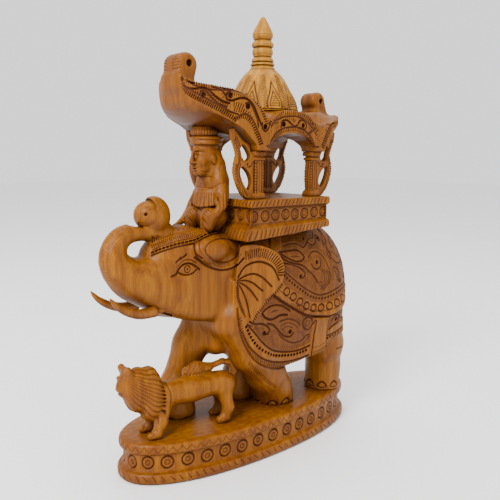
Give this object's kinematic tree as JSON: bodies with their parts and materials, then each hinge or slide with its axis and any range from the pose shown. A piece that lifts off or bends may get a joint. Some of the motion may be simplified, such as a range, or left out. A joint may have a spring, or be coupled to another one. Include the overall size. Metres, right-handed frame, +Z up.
{
  "type": "carved elephant figurine",
  "caption": "Carved wooden elephant with a canopied howdah and mahout on its back and a lion beside it, on an oval plinth.",
  "frame": {"origin": "centre of the oval plinth's underside", "axes": "+Z up, elephant walks towards -Y, its left side is +X"},
  "size_m": [0.064, 0.1758, 0.25],
  "materials": {
    "carved_wood": "satin",
    "dark_wood": "satin",
    "pale_wood": "satin",
    "dowel_wood": "matte"
  },
  "bodies": {
    "root": {"plinth": "carved_wood", "elephant": "carved_wood", "tusk_left": "dark_wood", "tusk_right": "dark_wood", "lion": "carved_wood", "mahout": "carved_wood", "howdah_tray": "carved_wood", "post_front_left": "carved_wood", "post_front_right": "carved_wood", "post_rear_left": "carved_wood", "post_rear_right": "carved_wood", "canopy": "carved_wood", "dome": "pale_wood", "finial": "pale_wood", "foot_dowels": "dowel_wood", "howdah_dowels": "dowel_wood", "lion_pins": "dowel_wood", "mahout_pin": "dowel_wood"}
  },
  "joints": []
}
